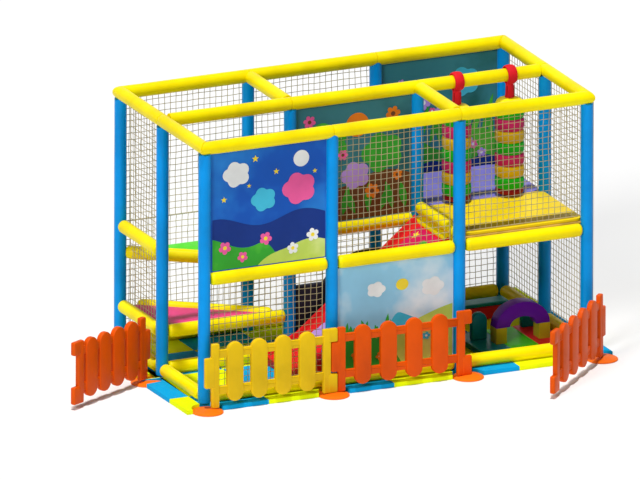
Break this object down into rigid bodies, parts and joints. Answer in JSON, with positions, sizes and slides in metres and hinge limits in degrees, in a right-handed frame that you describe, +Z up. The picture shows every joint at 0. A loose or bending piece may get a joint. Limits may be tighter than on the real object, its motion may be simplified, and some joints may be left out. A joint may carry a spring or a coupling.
{
  "type": "indoor playground",
  "caption": "Two-storey soft play frame of padded posts and rails, with nets, printed walls, a slide, platforms, hanging bags, a toddler corner and a picket fence with gates.",
  "frame": {"origin": "on the ground, under the floor tiles, at the centre of the grid of posts", "axes": "+X along the front, from the slide's foot towards the toddler corner; +Y to the back; +Z up"},
  "size_m": [4.9831, 3.0016, 2.4475],
  "materials": {
    "post_foam_cover": "smooth coated fabric over foam",
    "rail_foam_cover": "smooth coated fabric over foam",
    "net_cord": "knotted cord",
    "printed_sheet": "printed coated fabric, stretched flat",
    "floor_mat": "fine-grained foam mat",
    "plywood": "plain plywood",
    "yellow_cover": "smooth coated fabric over foam",
    "lavender_cover": "smooth coated fabric over foam",
    "blue_cover": "smooth coated fabric over foam",
    "magenta_cover": "smooth coated fabric over foam",
    "green_cover": "smooth coated fabric over foam",
    "red_cover": "smooth coated fabric",
    "slide_shell": "printed glossy surface",
    "dark_cover": "dark coated fabric over foam",
    "teal_cover": "smooth coated fabric over foam",
    "purple_cover": "smooth coated fabric over foam",
    "fence_yellow": "moulded plastic",
    "fence_orange": "moulded plastic",
    "foot_orange": "moulded plastic"
  },
  "bodies": {
    "structure": {"post_pad_front_1": "post_foam_cover", "post_pad_front_2": "post_foam_cover", "post_pad_front_3": "post_foam_cover", "post_pad_front_4": "post_foam_cover", "post_pad_middle_1": "post_foam_cover", "post_pad_middle_2": "post_foam_cover", "post_pad_middle_3": "post_foam_cover", "post_pad_middle_4": "post_foam_cover", "post_pad_back_1": "post_foam_cover", "post_pad_back_2": "post_foam_cover", "post_pad_back_3": "post_foam_cover", "post_pad_back_4": "post_foam_cover", "floor_rail_pads": "rail_foam_cover", "low_platform_rail_pads": "rail_foam_cover", "high_platform_rail_pads": "rail_foam_cover", "mid_rail_pads_outer": "rail_foam_cover", "mid_rail_pads_inner": "rail_foam_cover", "mid_rail_pad_left": "rail_foam_cover", "top_rail_pads_outer": "rail_foam_cover", "top_rail_pads_inner": "rail_foam_cover", "slide_bumper_roll": "rail_foam_cover", "net_right": "net_cord", "net_back_lower": "net_cord", "net_back_upper": "net_cord", "net_left": "net_cord", "net_front_lower": "net_cord", "net_front_upper_middle": "net_cord", "net_front_upper_right": "net_cord", "print_front_upper": "printed_sheet", "print_front_lower": "printed_sheet", "print_middle_upper": "printed_sheet", "print_back_upper": "printed_sheet", "floor_tiles": "floor_mat", "floor_board": "plywood", "yellow_floor_pad": "yellow_cover", "lavender_floor_pad": "lavender_cover", "rear_floor_pad": "blue_cover", "low_platform": "magenta_cover", "high_platform": "green_cover", "play_bench": "red_cover", "slide": "slide_shell", "domed_partition": "dark_cover", "play_base": "teal_cover", "play_upright_left": "teal_cover", "play_upright_right": "teal_cover", "play_arch": "purple_cover", "fence_panel_yellow": "fence_yellow", "fence_panel_orange": "fence_orange", "foot_gate_left": "foot_orange", "foot_fence_1": "foot_orange", "foot_fence_2": "foot_orange", "foot_fence_3": "foot_orange", "foot_gate_right": "foot_orange"},
    "gate_left": {"gate_left": "fence_orange"},
    "gate_right": {"gate_right": "fence_orange"},
    "bag_left": {"bag_left_rolls": "green_cover", "bag_left_strap": "red_cover"},
    "bag_right": {"bag_right_rolls": "green_cover", "bag_right_strap": "red_cover"}
  },
  "joints": [
    {"name": "gate_left_hinge", "type": "hinge", "parent": "structure", "child": "gate_left", "pos_m": [-2, -0.049, 0.35], "axis": [0, 0, 1], "range_deg": [-60, 68]},
    {"name": "gate_right_hinge", "type": "hinge", "parent": "structure", "child": "gate_right", "pos_m": [1.912, -1.04, 0.35], "axis": [0, 0, 1], "range_deg": [-45, 60]},
    {"name": "bag_left_swing", "type": "hinge", "parent": "structure", "child": "bag_left", "pos_m": [0.985, 0, 2.36], "axis": [1, 0, 0], "range_deg": [-25, 25]},
    {"name": "bag_right_swing", "type": "hinge", "parent": "structure", "child": "bag_right", "pos_m": [1.492, 0, 2.36], "axis": [1, 0, 0], "range_deg": [-25, 25]}
  ]
}
